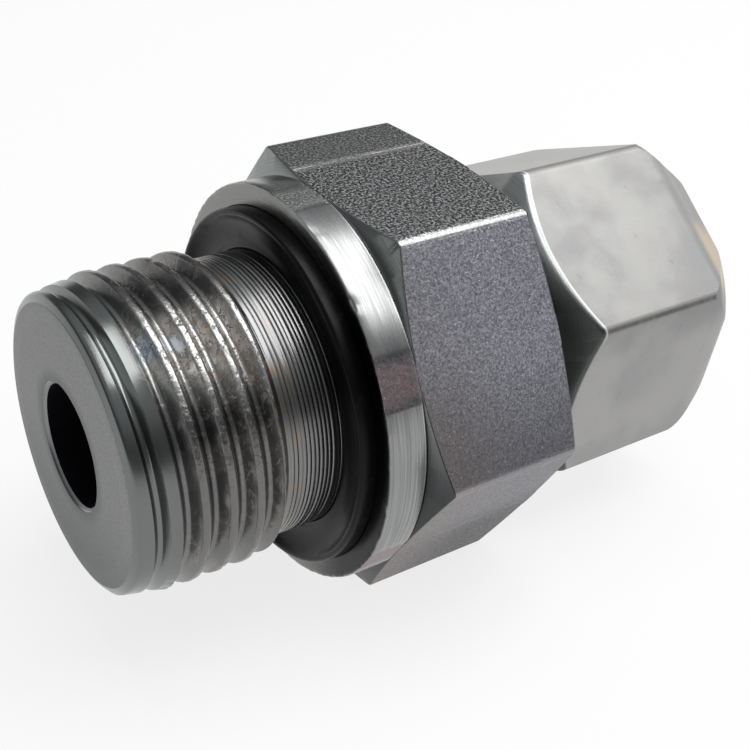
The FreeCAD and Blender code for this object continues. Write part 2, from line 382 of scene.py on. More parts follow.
def bodyOutline(b):
    firstRadius = b["boreRadius"] + b["boreBreak"]
    outline = [(b["studFaceX"] + b["boreBreak"], b["boreRadius"])]
    for share in (0, 0.25, 0.5, 0.75):
        outline.append((b["studFaceX"], firstRadius + (b["studFaceRadius"] - firstRadius) * share))
    outline += [(b["studFaceX"], b["studFaceRadius"] - 0.14), (b["studFaceX"] + 0.03, b["studFaceRadius"] - 0.05)]
    outline += [(b["studFaceX"] + 0.11, b["studFaceRadius"] + 0.05)]
    outline += b["leadIn"] + [(b["threadEndX"], b["threadRadius"])]
    outline += [(b["neckX"], b["neckRadius"])]
    x = b["neckX"] + 0.2
    count = 0
    while x < b["ringEndX"]:
        depth = b["ringDepth"] * (0.75 + 0.25 * math.sin(count * 2.3))
        outline += [(x, b["neckRadius"] - 0.008), (x + b["ringPitch"] * 0.35, b["neckRadius"])]
        outline += [(x + b["ringPitch"] * 0.7, b["neckRadius"] - 0.008)]
        outline += [(x + b["ringPitch"] * 0.86, b["neckRadius"] - depth)]
        x += b["ringPitch"]
        count += 1
    outline += [(b["recessX"], b["neckRadius"]), (b["recessX"], b["recessRadius"]), (0, b["recessRadius"])]
    outline += [(0, b["recessRadius"] + 0.35), (0, b["collarRadius"] - 0.7), (0, b["collarRadius"] - 0.35)]
    outline += [(0, b["collarRadius"] - b["collarBreak"]), (0.04, b["collarRadius"] - 0.05)]
    outline += [(b["collarBreak"], b["collarRadius"]), (0.6, b["collarRadius"]), (1.2, b["collarRadius"])]
    outline += [(1.9, b["collarRadius"]), (b["collarEndX"], b["collarRadius"])]
    outline += [(b["collarEndX"] + 0.06, b["lineRadius"]), (b["lineEndX"], b["lineRadius"])]
    outline += [(b["lineEndX"] + slopeRun(b["blankRadius"] - b["lineRadius"], b["frontSlope"]), b["blankRadius"])]
    outline += [(b["backX"] - slopeRun(b["blankRadius"] - b["flats"] / 2, b["backSlope"]), b["blankRadius"])]
    outline += [(b["backX"] + 0.03, b["flats"] / 2 - 0.11), (b["backX"], b["flats"] / 2 - 0.25)]
    outline += [(b["backX"], 11.0), (b["backX"], b["shankRadius"] + 0.15)]
    outline += [(b["backX"] + 0.05, b["shankRadius"] + 0.04), (b["backX"] + 0.16, b["shankRadius"])]
    outline += arc(b["wireX"], b["shankRadius"], b["wireGroove"], 180, 360, 12)
    outline += [(b["coneStartX"], b["shankRadius"])]

    def coneRadius(x):
        return b["shankRadius"] - slopeRun(x - b["coneStartX"], b["coneAngle"])

    grooveEnd = b["ringGrooveX"] + b["ringGrooveWidth"]
    outline += [(b["ringGrooveX"], coneRadius(b["ringGrooveX"])), (b["ringGrooveX"], b["ringGrooveRadius"])]
    outline += [(grooveEnd, b["ringGrooveRadius"]), (grooveEnd, coneRadius(grooveEnd))]
    tip = coneRadius(b["coneEndX"])
    outline += arc(b["coneEndX"] - b["noseBreak"], tip - b["noseBreak"], b["noseBreak"], 78, 0, 5)
    outline += [(b["coneEndX"], firstRadius), (b["coneEndX"] - b["boreBreak"], b["boreRadius"])]
    return outline


def threadSpace(b, thread):
    # what the threading tool leaves standing: the screw, then free space from the neck onwards
    bm = screwThread(thread, b["studFaceX"] - 0.7, b["runOutX"])
    rim = openEdges(bm, b["runOutX"])
    for growth, shift in ((2.0, 0), (1.0, 60)):
        grown = bmesh.ops.extrude_edge_only(bm, edges=rim)["geom"]
        verts = [g for g in grown if isinstance(g, bmesh.types.BMVert)]
        bmesh.ops.scale(bm, vec=(1, growth, growth), verts=verts)
        bmesh.ops.translate(bm, vec=(shift, 0, 0), verts=verts)
        rim = [g for g in grown if isinstance(g, bmesh.types.BMEdge)]
    bmesh.ops.holes_fill(bm, edges=openEdges(bm), sides=0)
    bmesh.ops.recalc_face_normals(bm, faces=bm.faces[:])
    return bm


def roundRims(bm, fromX, toX, innerRadius, offset, segments):
    # breaks the curved edges where the turned cones run into the flats
    rims = []
    for edge in bm.edges:
        if len(edge.link_faces) != 2:
            continue
        middle = (edge.verts[0].co + edge.verts[1].co) / 2
        if not fromX < middle.x < toX or math.hypot(middle.y, middle.z) < innerRadius:
            continue
        lean = sorted(abs(f.normal.x) for f in edge.link_faces)
        if lean[0] < 0.02 and lean[1] > 0.2:
            rims.append(edge)
    bmesh.ops.bevel(bm, geom=rims, offset=offset, offset_type="OFFSET", segments=segments, profile=0.5,
                    affect="EDGES", clamp_overlap=False, material=-1)
    print("rims", len(rims))


def wearEdges(bm, b):
    # a ragged burr with one nick on the collar's front edge, and small dents along the thread's crests
    angle = math.radians(b["nickAngle"])
    nick = Vector((0, -math.cos(angle), math.sin(angle))) * b["collarRadius"]
    for vert in bm.verts:
        place = vert.co
        radius = math.hypot(place.y, place.z)
        if -0.01 < place.x < 0.3 and radius > 13.3:
            rough = max(noise.noise(Vector((0, place.y * 1.1, place.z * 1.1))), 0) + 0.3
            rough *= max(noise.noise(Vector((5, place.y * 3.1, place.z * 3.1))) + 0.25, 0)
            rough += 1.3 * max(1 - (place - nick).length / b["nickSize"], 0)
            vert.co.x += b["burr"] * rough
            vert.co.yz = place.yz * (1 - 0.006 * rough)
        elif place.x < b["threadEndX"] + 0.3 and radius > 10.12:
            dent = max(noise.noise(place * 1.7) - 0.12, 0) * 0.12 + noise.noise(place * 4.3) * 0.022
            vert.co.yz = place.yz * (1 - max(dent, 0) / radius)


def surfaceOf(face, b):
    # 0 is the stud with its neck, 1 what the lathe turned, 2 the bar's own flats and corners
    middle = face.calc_center_median()
    radius = math.hypot(middle.y, middle.z)
    depth = abs(face.normal.dot(middle))
    isAlong = abs(face.normal.x) < 0.05 and middle.x > 0 and depth > b["flats"] / 2 - 0.04
    if isAlong and (depth < b["flats"] / 2 + 0.01 or radius > b["collarRadius"] + 1.4):
        return 2
    if middle.x < -0.02 or radius < b["neckRadius"] + 0.02 and middle.x < b["recessX"] + 0.1:
        return 0
    return 1


def makeBody(b, thread):
    bm = turn(bodyOutline(b), b["segments"])
    space = threadSpace(b, thread)
    bm = cutTogether(bm, space, "INTERSECT")
    bar = hexagonBar(b["flats"], b["cornerRadius"], b["studFaceX"] - 3, b["coneEndX"] + 3, 0)
    cutToBar(bm, bar)
    bm.normal_update()
    roundRims(bm, b["lineEndX"] + 0.02, b["backX"] - 0.02, 13.4, b["rimBreak"], 2)
    wearEdges(bm, b)
    bm.normal_update()
    for face in bm.faces:
        face.material_index = surfaceOf(face, b)
    return bm


studLook = {
    "face": (0.32, 0.325, 0.32), "bore": (0.2, 0.2, 0.26), "mouth": (0.32, 0.31, 0.32),
    "boreEdge": (0.15, 0.155, 0.155),
    # steel and crest each come as a lit and a darker copy: painted highlight and shade
    "smooth": (0.17, 0.18, 0.175), "steel": (0.36, 0.358, 0.35), "steelShaded": (0.15, 0.149, 0.148),
    "crest": (0.38, 0.38, 0.37), "crestShaded": (0.17, 0.167, 0.163),
    "tan": (0.48, 0.455, 0.42), "brown": (0.3, 0.28, 0.263), "oil": (0.1, 0.096, 0.094),
    "rust": (0.42, 0.27, 0.15), "blueTint": (0.25, 0.3, 0.36), "bluePlace": (-10.8, -4.4, 8.8),
    "neck": (0.24, 0.24, 0.238), "neckWarm": (0.3, 0.24, 0.18), "neckDark": (0.1, 0.1, 0.1),
    "faceX": (-14.58, -14.55), "neckX": (-4.85, -4.65), "neckGlossX": (-4.75, -4.55),
    "stainedX": (-12.6, -10.0), "threadEndX": (-5.3, -4.8), "litZ": (4.8, 7.6), "litY": (-3.4, -0.8),
    "blueReach": (0.3, 1.5), "wornRadius": (10.14, 10.32), "warmX": (-4.0, -2.6), "shadeZ": (-9.0, 1.0),
    "boreRadius": (4.02, 4.2), "boreEdgeRadius": (4.3, 5.3), "mouthX": (-14.3, -10.5),
}


def makeStudSteel(c):
    material, tree, shader, at = newMaterial("studSteel", 1.0)
    marks = useGroup(tree, turningMarks, {"Place": at["place"], "Fineness": 9.0})
    patches = useGroup(tree, stains, {"Place": at["place"], "Size": 2.6, "Amount": 0.16})
    specks = useGroup(tree, stains, {"Place": at["place"], "Size": 0.7, "Amount": 0.03})
    grain = useGroup(tree, platedGrain, {"Place": at["place"], "Size": 0.16})

    # thread: smooth and dark near the face, stained and pitted towards the collar, crests worn bright. Painted
    # highlight and shade: in a band on the upper side the steel and crests take their lighter copies and the stains
    # show fully, elsewhere the darker copies and a quarter of the stains
    stained = ease(tree, at["x"], *c["stainedX"])
    stained = times(tree, stained, ease(tree, at["x"], *c["threadEndX"], 1.0, 0.0))
    # painted highlight: the band high on the -Y side that gets the lighter copies
    lit = times(tree, ease(tree, at["z"], *c["litZ"]), ease(tree, at["y"], *c["litY"], 1.0, 0.0))
    plain = blend(tree, stained, c["smooth"], blend(tree, lit, c["steelShaded"], c["steel"]))
    patched = times(tree, ease(tree, lit, 0.0, 1.0, 0.25, 1.0), patches["Mask"])
    stained = times(tree, stained, patched)
    mottled = blend(tree, specks["Mask"], c["brown"], c["tan"])
    mottled = blend(tree, times(tree, specks["Pits"], 0.85), mottled, c["oil"])
    rust = times(tree, ease(tree, noisy(tree, at["place"], 1.1, 2.0, 0.6), 0.64, 0.72), stained)
    mottled = blend(tree, rust, mottled, c["rust"])
    thread = blend(tree, times(tree, stained, 0.8), plain, mottled)
    fromBlue = addNode(tree, "ShaderNodeVectorMath", {0: at["place"], 1: c["bluePlace"]}, operation="DISTANCE")
    tint = ease(tree, fromBlue.outputs["Value"], *c["blueReach"], 0.8, 0.0)
    thread = blend(tree, tint, thread, c["blueTint"])
    worn = ease(tree, plus(tree, at["r"], times(tree, marks["Lines"], 0.16)), *c["wornRadius"])
    # painted highlight: the crests lighter inside the lit band, darker outside it
    crest = blend(tree, lit, c["crestShaded"], c["crest"])
    thread = blend(tree, times(tree, worn, 0.85), thread, crest)

    # neck, end face and bore
    warm = ease(tree, noisy(tree, at["place"], 0.5, 3.0, 0.6), 0.5, 0.66)
    warm = times(tree, warm, ease(tree, at["x"], *c["warmX"], 0.8, 0.0))
    neck = blend(tree, warm, c["neck"], c["neckWarm"])
    neck = blend(tree, ease(tree, marks["Lines"], 0.35, 0.75, 0.0, 0.45), neck, c["neckDark"])
    colour = blend(tree, ease(tree, at["x"], *c["neckX"]), thread, neck)
    face = blend(tree, ease(tree, grain["Grain"], 0.35, 0.7, 0.0, 0.35), c["face"], c["boreEdge"])
    face = blend(tree, ease(tree, at["r"], *c["boreEdgeRadius"], 0.55, 0.0), face, c["boreEdge"])
    # painted shade: the end face darker towards the bottom
    face = blend(tree, ease(tree, at["z"], *c["shadeZ"], 0.6, 0.0), face, c["boreEdge"])
    isFace = ease(tree, at["x"], *c["faceX"], 1.0, 0.0)
    colour = blend(tree, isFace, colour, face)
    isBore = ease(tree, at["r"], *c["boreRadius"], 1.0, 0.0)
    bore = blend(tree, ease(tree, at["x"], *c["mouthX"], 0.9, 0.0), c["bore"], c["mouth"])
    colour = blend(tree, isBore, colour, bore)

    roughness = ease(tree, marks["Broad"], 0.3, 0.7, 0.16, 0.25)
    roughness = plus(tree, roughness, ease(tree, at["x"], *c["neckGlossX"], 0.0, 0.07))
    roughness = times(tree, roughness, minus(tree, 1.0, isFace))
    roughness = plus(tree, roughness, times(tree, stained, 0.12))
    roughness = plus(tree, roughness, times(tree, isFace, 0.62))
    roughness = plus(tree, roughness, times(tree, isBore, 0.4))
    setShader(tree, shader, colour, roughness)
    height = times(tree, marks["Lines"], ease(tree, at["x"], *c["faceX"], 0.0, 0.12))
    height = plus(tree, height, times(tree, times(tree, specks["Mask"], stained), 1.6))
    height = minus(tree, height, times(tree, times(tree, specks["Pits"], stained), 1.3))
    rough = noisy(tree, at["place"], 3.2, 3.0, 0.6)
    height = plus(tree, height, times(tree, times(tree, rough, worn), 0.9))
    height = plus(tree, height, times(tree, times(tree, grain["Grain"], isFace), 0.4))
    bump(tree, shader, height, 0.03)
    return material


turnedLook = {
    "collar": (0.36, 0.362, 0.36), "collarDark": (0.18, 0.182, 0.184), "annulusShade": (0.022, 0.022, 0.024),
    "annulusTop": (0.2, 0.202, 0.195), "cone": (0.24, 0.257, 0.253), "coneShade": (0.06, 0.062, 0.063),
    "line": (0.03, 0.03, 0.032), "lipHighlight": (0.62, 0.62, 0.6), "back": (0.2, 0.2, 0.2),
    "bore": (0.014, 0.014, 0.018), "shank": (0.28, 0.28, 0.282),
    "annulusX": (0.0, 0.06), "annulusShadeY": (-9.5, -3.5), "lipX": (2.5, 2.57), "collarEndX": (2.62, 2.7),
    "lineX": (2.61, 2.73), "coneShadeZ": (-1.0, 7.0), "backX": (11.0, 11.2), "boreRadius": (4.02, 4.2),
}


def makeTurnedSteel(c):
    material, tree, shader, at = newMaterial("turnedSteel", 1.0)
    marks = useGroup(tree, turningMarks, {"Place": at["place"], "Fineness": 12.0})
    coarse = useGroup(tree, turningMarks, {"Place": at["place"], "Fineness": 3.5})
    grain = useGroup(tree, platedGrain, {"Place": at["place"], "Size": 0.2})
    isCollar = ease(tree, at["x"], *c["collarEndX"], 1.0, 0.0)
    collar = blend(tree, ease(tree, marks["Lines"], 0.3, 0.7, 0.0, 0.75), c["collar"], c["collarDark"])
    collar = blend(tree, ease(tree, coarse["Broad"], 0.5, 0.75, 0.0, 0.35), collar, c["collarDark"])
    # painted shade: the collar's front annulus beside the seal near black on the -Y side, paler towards +Y
    isAnnulus = ease(tree, at["x"], *c["annulusX"], 1.0, 0.0)
    annulusShade = blend(tree, ease(tree, at["y"], *c["annulusShadeY"]), c["annulusShade"], c["annulusTop"])
    collar = blend(tree, isAnnulus, collar, annulusShade)
    # painted highlight: a bright band at the collar's back edge
    collar = blend(tree, ease(tree, at["x"], *c["lipX"], 0.0, 0.7), collar, c["lipHighlight"])
    cone = blend(tree, ease(tree, marks["Lines"], 0.3, 0.75, 0.0, 0.25), c["cone"], c["back"])
    # painted shade: the front cone darker towards the bottom
    cone = blend(tree, ease(tree, at["z"], *c["coneShadeZ"], 1.0, 0.0), cone, c["coneShade"])
    # painted shade: a dark line in the small groove behind the collar
    line = between(tree, at["x"], *c["lineX"], 0.02)
    cone = blend(tree, line, cone, c["line"])
    backEnd = blend(tree, ease(tree, marks["Lines"], 0.3, 0.7, 0.0, 0.5), c["shank"], c["back"])
    outer = blend(tree, ease(tree, at["x"], *c["backX"]), cone, backEnd)
    colour = blend(tree, isCollar, outer, collar)
    isBore = ease(tree, at["r"], *c["boreRadius"], 1.0, 0.0)
    # painted shade: the bore inside the turned part near black
    colour = blend(tree, isBore, colour, c["bore"])
    roughness = ease(tree, marks["Lines"], 0.3, 0.7, 0.22, 0.36)
    roughness = plus(tree, roughness, times(tree, isBore, 0.4))
    setShader(tree, shader, colour, roughness)
    height = plus(tree, marks["Lines"], times(tree, grain["Grain"], 0.3))
    bump(tree, shader, height, 0.004)
    return material


barLook = {
    "darkGrainAndShade": (0.028, 0.029, 0.03), "mid": (0.42, 0.422, 0.423), "speck": (0.9, 0.9, 0.88),
    "blue": (0.52, 0.525, 0.58), "blueDark": (0.26, 0.263, 0.3), "brown": (0.24, 0.208, 0.2),
    "low": (0.13, 0.128, 0.14), "red": (0.27, 0.19, 0.19), "collar": (0.27, 0.27, 0.27),
    "edge": (0.36, 0.36, 0.355), "lineMarkAndHighlight": (0.62, 0.61, 0.6), "beyond": (0.13, 0.131, 0.13),
    "flats": body["flats"], "upperZ": (13.3, 13.45), "beyondY": (3.4, 4.2), "highlightLineY": (3.56, 3.64), "highlightBandY": (3.2, 3.9),
    "sideShadeZ": (-1.0, 7.5), "bottomShadeZ": (-9.0, -4.0), "brownX": (1.5, 10.5), "brownZ": (2.0, 10.0), "speckZ": (-3.0, 2.0),
    "collarX": (2.45, 2.8), "ridgeRadius": (15.38, 15.5), "ridgeZ": (-5.0, 5.0),
}


def makeBarSteel(c):
    # the flats keep the rolled bar's grain: coarse on the upper one, fine and bluish on the others
    material, tree, shader, at = newMaterial("barSteel", 1.0)
    coarse = useGroup(tree, platedGrain, {"Place": at["place"], "Size": 0.18})
    fine = useGroup(tree, platedGrain, {"Place": at["place"], "Size": 0.16})
    fromMiddle = minus(tree, times(tree, at["r"], at["r"]), (c["flats"] / 2) ** 2)
    fromMiddle = maths(tree, "SQRT", maths(tree, "MAXIMUM", fromMiddle, 0.0))
    upper = ease(tree, at["z"], *c["upperZ"])
    beyondLine = ease(tree, at["y"], *c["beyondY"])
    top = blend(tree, ease(tree, coarse["Grain"], 0.45, 0.6), c["darkGrainAndShade"], c["mid"])
    top = blend(tree, coarse["Specks"], top, c["speck"])
    top = blend(tree, times(tree, beyondLine, 0.45), top, c["beyond"])
    side = blend(tree, ease(tree, fine["Grain"], 0.36, 0.64), c["blueDark"], c["blue"])
    # painted shade: the side flats darker below the middle and near black at the bottom
    side = blend(tree, ease(tree, at["z"], *c["sideShadeZ"], 0.75, 0.0), side, c["low"])
    side = blend(tree, ease(tree, at["z"], *c["bottomShadeZ"], 0.75, 0.0), side, c["darkGrainAndShade"])
    brownish = ease(tree, at["x"], *c["brownX"], 1.0, 0.0)
    brownish = times(tree, brownish, ease(tree, at["z"], *c["brownZ"], 1.0, 0.25))
    side = blend(tree, times(tree, brownish, 0.8), side, c["brown"])
    onCollar = ease(tree, at["x"], *c["collarX"], 1.0, 0.0)
    facet = blend(tree, ease(tree, fromMiddle, 0.3, 2.3), c["red"], c["collar"])
    facet = blend(tree, ease(tree, fine["Grain"], 0.35, 0.65, 0.6, 0.0), facet, c["blueDark"])
    side = blend(tree, onCollar, side, facet)
    top = blend(tree, times(tree, onCollar, ease(tree, fromMiddle, 0.2, 1.5, 0.45, 0.9)), top, c["collar"])
    lone = times(tree, fine["Specks"], times(tree, minus(tree, 1.0, onCollar), 0.35))
    lone = times(tree, lone, ease(tree, at["z"], *c["speckZ"]))
    side = blend(tree, lone, side, c["speck"])
    middleLine = ease(tree, fromMiddle, 0.03, 0.07, 0.3, 0.0)
    middleLine = times(tree, middleLine, ease(tree, fine["Cloud"], 0.4, 0.6))
    side = blend(tree, middleLine, side, c["lineMarkAndHighlight"])
    colour = blend(tree, upper, side, top)
    # painted highlight: a bright line across the upper flat with a soft lighter band round it
    drawnLineHighlight = between(tree, at["y"], *c["highlightLineY"], 0.04)
    drawnLineHighlight = times(tree, drawnLineHighlight, ease(tree, coarse["Cloud"], 0.3, 0.6, 0.35, 0.8))
    drawnLineHighlight = maths(tree, "MAXIMUM", drawnLineHighlight, times(tree, between(tree, at["y"], *c["highlightBandY"], 0.2), 0.3))
    drawnLineHighlight = times(tree, drawnLineHighlight, upper)
    colour = blend(tree, drawnLineHighlight, colour, c["lineMarkAndHighlight"])
    # painted highlight: the hexagon's long corners lighter, fully on the upper ones and faintly lower down
    ridge = times(tree, ease(tree, at["r"], *c["ridgeRadius"]), ease(tree, at["z"], *c["ridgeZ"], 0.2, 1.0))
    colour = blend(tree, times(tree, ridge, 0.7), colour, c["edge"])
    roughness = ease(tree, coarse["Grain"], 0.35, 0.65, 0.5, 0.34)
    roughness = minus(tree, roughness, times(tree, ridge, 0.1))
    border = times(tree, onCollar, ease(tree, fromMiddle, 0.6, 1.6))
    roughness = minus(tree, roughness, times(tree, border, 0.12))
    setShader(tree, shader, colour, roughness)
    domes = plus(tree, coarse["Grain"], times(tree, coarse["Specks"], 1.2))
    height = times(tree, domes, plus(tree, times(tree, upper, 1.7), 0.25))
    height = plus(tree, height, times(tree, fine["Grain"], 0.6))
    height = times(tree, height, minus(tree, 1.0, maths(tree, "MAXIMUM", ridge, drawnLineHighlight)))
    height = times(tree, height, minus(tree, 1.0, times(tree, border, 0.8)))
    bump(tree, shader, height, 0.05)
    return material


nutLook = {
    "zinc": (0.39, 0.387, 0.377), "warm": (0.375, 0.362, 0.352), "cool": (0.36, 0.364, 0.36),
    "topBandHighlight": (0.72, 0.715, 0.7), "warmHighlight": (0.76, 0.66, 0.52), "farEdgeHighlight": (0.55, 0.55, 0.54),
    "cone": (0.44, 0.46, 0.455), "coneShade": (0.05, 0.052, 0.052), "inside": (0.2, 0.2, 0.198),
    "ridge": (0.13, 0.13, 0.132), "rim": (0.7, 0.7, 0.68), "lowerReflection": (0.5, 0.495, 0.495),
    "spot": (0.26, 0.252, 0.245),
    "lowerZ": (2.0, 4.6), "ridgeRadius": (12.365, 12.4), "ridgeZ": (7.0, 10.0), "backY": (-1.0, -0.4),
    "backZ": (3.0, 7.0), "litZ": (3.5, 5.5), "farX": (29.9, 30.7), "highlightBandY": (-10.6, -6.8),
    "nearX": 16.32, "coneRise": 1.19, "coneRadius": (9.75, 10.0), "rimRadius": (9.64, 9.82),
    "coneShadeZ": (4.2, 9.5), "insideRadius": (9.25, 9.6),
}


def makeNutSteel(c):
    material, tree, shader, at = newMaterial("nutSteel", 1.0)
    marks = useGroup(tree, turningMarks, {"Place": at["place"], "Fineness": 8.0})
    grain = useGroup(tree, platedGrain, {"Place": at["place"], "Size": 0.14})
    cloud = noisy(tree, at["place"], 0.22, 3.0, 0.55)
    colour = blend(tree, ease(tree, cloud, 0.42, 0.66), c["zinc"], c["cool"])
    warmth = ease(tree, noisy(tree, at["place"], 0.3, 2.0, 0.5, 0.5), 0.52, 0.7, 0.0, 0.7)
    colour = blend(tree, warmth, colour, c["warm"])
    spots = ease(tree, noisy(tree, at["place"], 0.8, 2.0, 0.5), 0.66, 0.76, 0.0, 0.35)
    colour = blend(tree, spots, colour, c["spot"])
    colour = blend(tree, ease(tree, grain["Grain"], 0.35, 0.7, 0.0, 0.12), colour, c["spot"])
    # painted reflection: the nut lighter on its lower part
    colour = blend(tree, ease(tree, at["z"], *c["lowerZ"], 0.4, 0.0), colour, c["lowerReflection"])
    # painted reflection: a dark line along the nut's middle corners, left off the upper ones
    ridge = times(tree, ease(tree, at["r"], *c["ridgeRadius"]), ease(tree, marks["Broad"], 0.3, 0.6, 0.55, 0.9))
    ridge = times(tree, ridge, ease(tree, at["z"], *c["ridgeZ"], 1.0, 0.0))
    colour = blend(tree, ridge, colour, c["ridge"])
    lean = minus(tree, at["r"], times(tree, minus(tree, at["x"], c["nearX"]), c["coneRise"]))
    onCone = ease(tree, lean, *c["coneRadius"])
    cone = blend(tree, ease(tree, marks["Lines"], 0.3, 0.7, 0.0, 0.5), c["cone"], c["inside"])
    # painted shade: the near cone darker towards the bottom
    cone = blend(tree, ease(tree, at["z"], *c["coneShadeZ"], 0.9, 0.0), cone, c["coneShade"])
    colour = blend(tree, onCone, colour, cone)
    # painted highlight: a bright line round the near rim on the upper part only
    rim = times(tree, between(tree, lean, *c["rimRadius"], 0.06), ease(tree, at["z"], *c["litZ"]))
    colour = blend(tree, rim, colour, c["rim"])
    # painted highlight: a bright band along the top of the nut towards +Y
    upperBackHighlight = times(tree, ease(tree, at["y"], *c["backY"]), ease(tree, at["z"], *c["backZ"]))
    colour = blend(tree, times(tree, upperBackHighlight, 0.9), colour, c["topBandHighlight"])
    # painted highlight: the far end lighter on its upper part, with a warm band on the -Y side
    farEdgeHighlight = times(tree, ease(tree, at["x"], *c["farX"]), ease(tree, at["z"], *c["litZ"]))
    colour = blend(tree, times(tree, farEdgeHighlight, 0.7), colour, c["farEdgeHighlight"])
    warmHighlight = times(tree, farEdgeHighlight, between(tree, at["y"], *c["highlightBandY"], 0.8))
    colour = blend(tree, times(tree, warmHighlight, 0.8), colour, c["warmHighlight"])
    isInside = ease(tree, at["r"], *c["insideRadius"], 1.0, 0.0)
    colour = blend(tree, isInside, colour, c["inside"])
    roughness = ease(tree, cloud, 0.35, 0.65, 0.56, 0.64)
    roughness = minus(tree, roughness, times(tree, onCone, 0.26))
    setShader(tree, shader, colour, roughness)
    height = plus(tree, times(tree, grain["Grain"], 0.5), times(tree, cloud, 0.3))
    height = plus(tree, height, times(tree, times(tree, marks["Lines"], onCone), 0.4))
    bump(tree, shader, height, 0.012)
    return material


rubberLook = {"black": (0.0018, 0.0018, 0.0024), "dusty": (0.007, 0.0073, 0.008)}


def makeRubber(c):
    material, tree, shader, at = newMaterial("blackRubber", 0.0)
    grain = useGroup(tree, platedGrain, {"Place": at["place"], "Size": 0.12})
    dust = ease(tree, noisy(tree, at["place"], 0.9, 4.0, 0.65), 0.52, 0.72)
    colour = blend(tree, times(tree, dust, 0.5), c["black"], c["dusty"])
    colour = blend(tree, times(tree, grain["Specks"], 0.25), colour, c["dusty"])
    setShader(tree, shader, colour, ease(tree, dust, 0.0, 1.0, 0.3, 0.42))
    shader.inputs["Specular IOR Level"].default_value = 0.15
    bump(tree, shader, grain["Grain"], 0.006)
    return material


wireLook = {"steel": (0.25, 0.25, 0.25), "dull": (0.14, 0.138, 0.132)}


def makeWireSteel(c):
    material, tree, shader, at = newMaterial("wireSteel", 1.0)
    marks = useGroup(tree, turningMarks, {"Place": at["place"], "Fineness": 14.0})
    dull = useGroup(tree, stains, {"Place": at["place"], "Size": 1.5, "Amount": 0.05})
    colour = blend(tree, times(tree, dull["Mask"], 0.6), c["steel"], c["dull"])
    setShader(tree, shader, colour, ease(tree, marks["Lines"], 0.3, 0.7, 0.22, 0.34))
    bump(tree, shader, marks["Lines"], 0.008)
    return material


studSteel = makeStudSteel(studLook)
turnedSteel = makeTurnedSteel(turnedLook)
barSteel = makeBarSteel(barLook)
nutSteel = makeNutSteel(nutLook)
blackRubber = makeRubber(rubberLook)
wireSteel = makeWireSteel(wireLook)
finishPiece(makeBody(body, studThread), "fittingBody", "fitting", "fitting_body",
            [studSteel, turnedSteel, barSteel])

sealRing = {
    "segments": 192, "innerRadius": 9.45, "outerRadius": 12.15, "backX": 1.3,
    "ridgeX": -0.895, "ridgeRadius": 11.875, "ridgeRound": 0.275,
    "valleyX": -0.42, "valleyRadius": 10.3, "lipX": -0.61, "lipRadius": 9.55,
}


def makeSealRing(s):
    outline = [(s["backX"], s["innerRadius"]), (s["backX"], s["outerRadius"]), (0.4, s["outerRadius"])]
    outline += [(-0.3, s["outerRadius"])]
    outline += arc(s["ridgeX"], s["ridgeRadius"], s["ridgeRound"], 90, 225, 9)
    outline += [(-0.86, 11.5), (-0.68, 11.25), (-0.53, 10.95), (-0.45, 10.62), (s["valleyX"], s["valleyRadius"])]
    outline += [(-0.42, 10.05), (-0.47, 9.82), (-0.56, 9.66), (s["lipX"], s["lipRadius"])]
    outline += [(-0.6, s["innerRadius"] + 0.02), (-0.5, s["innerRadius"])]
    return turn(outline, s["segments"])


finishPiece(makeSealRing(sealRing), "studSealRing", "fitting", "stud_seal_ring", [blackRubber], 60)

nut = {
    "segments": 256, "flats": 21.7, "cornerRadius": 0.8, "turned": 36.2,
    "nearX": 16.32, "nearRadius": 10.1, "nearSlope": 40, "blankRadius": 12.5,
    "farX": 32.02, "farCornerX": 29.82, "farCornerRadius": 12.5285, "farRimRadius": 10.48, "rimBreak": 0.15,
    "farDrops": [(1.9, 0), (1.3, 0.05), (0.8, 0.15), (0.35, 0.31), (-0.05, 0.53), (-0.4, 0.79), (-0.7, 1.05)],
    "taperX": 30.47, "taperGrowth": 0.91752, "taperRound": 1.1,
    "rimRound": 0.2,
    "boreRadius": 7.08, "boreBreak": 0.3, "wallEndX": 20.72, "threadRadius": 8.188, "mouthRadius": 9.2,
    "wireX": 18.52, "wireChannel": 0.87, "shankRadius": 7.0,
}
nutThread = {
    "pitch": 1.5, "crestX": 24.0, "steps": 96, "startX": 22.6,
    "profile": [(-0.75, 8.1), (-0.6134, 8.1), (-0.12, 8.95), (-0.07, 8.99), (0.0, 9.0), (0.07, 8.99),
                (0.12, 8.95), (0.6134, 8.1), (0.75, 8.1)],
}


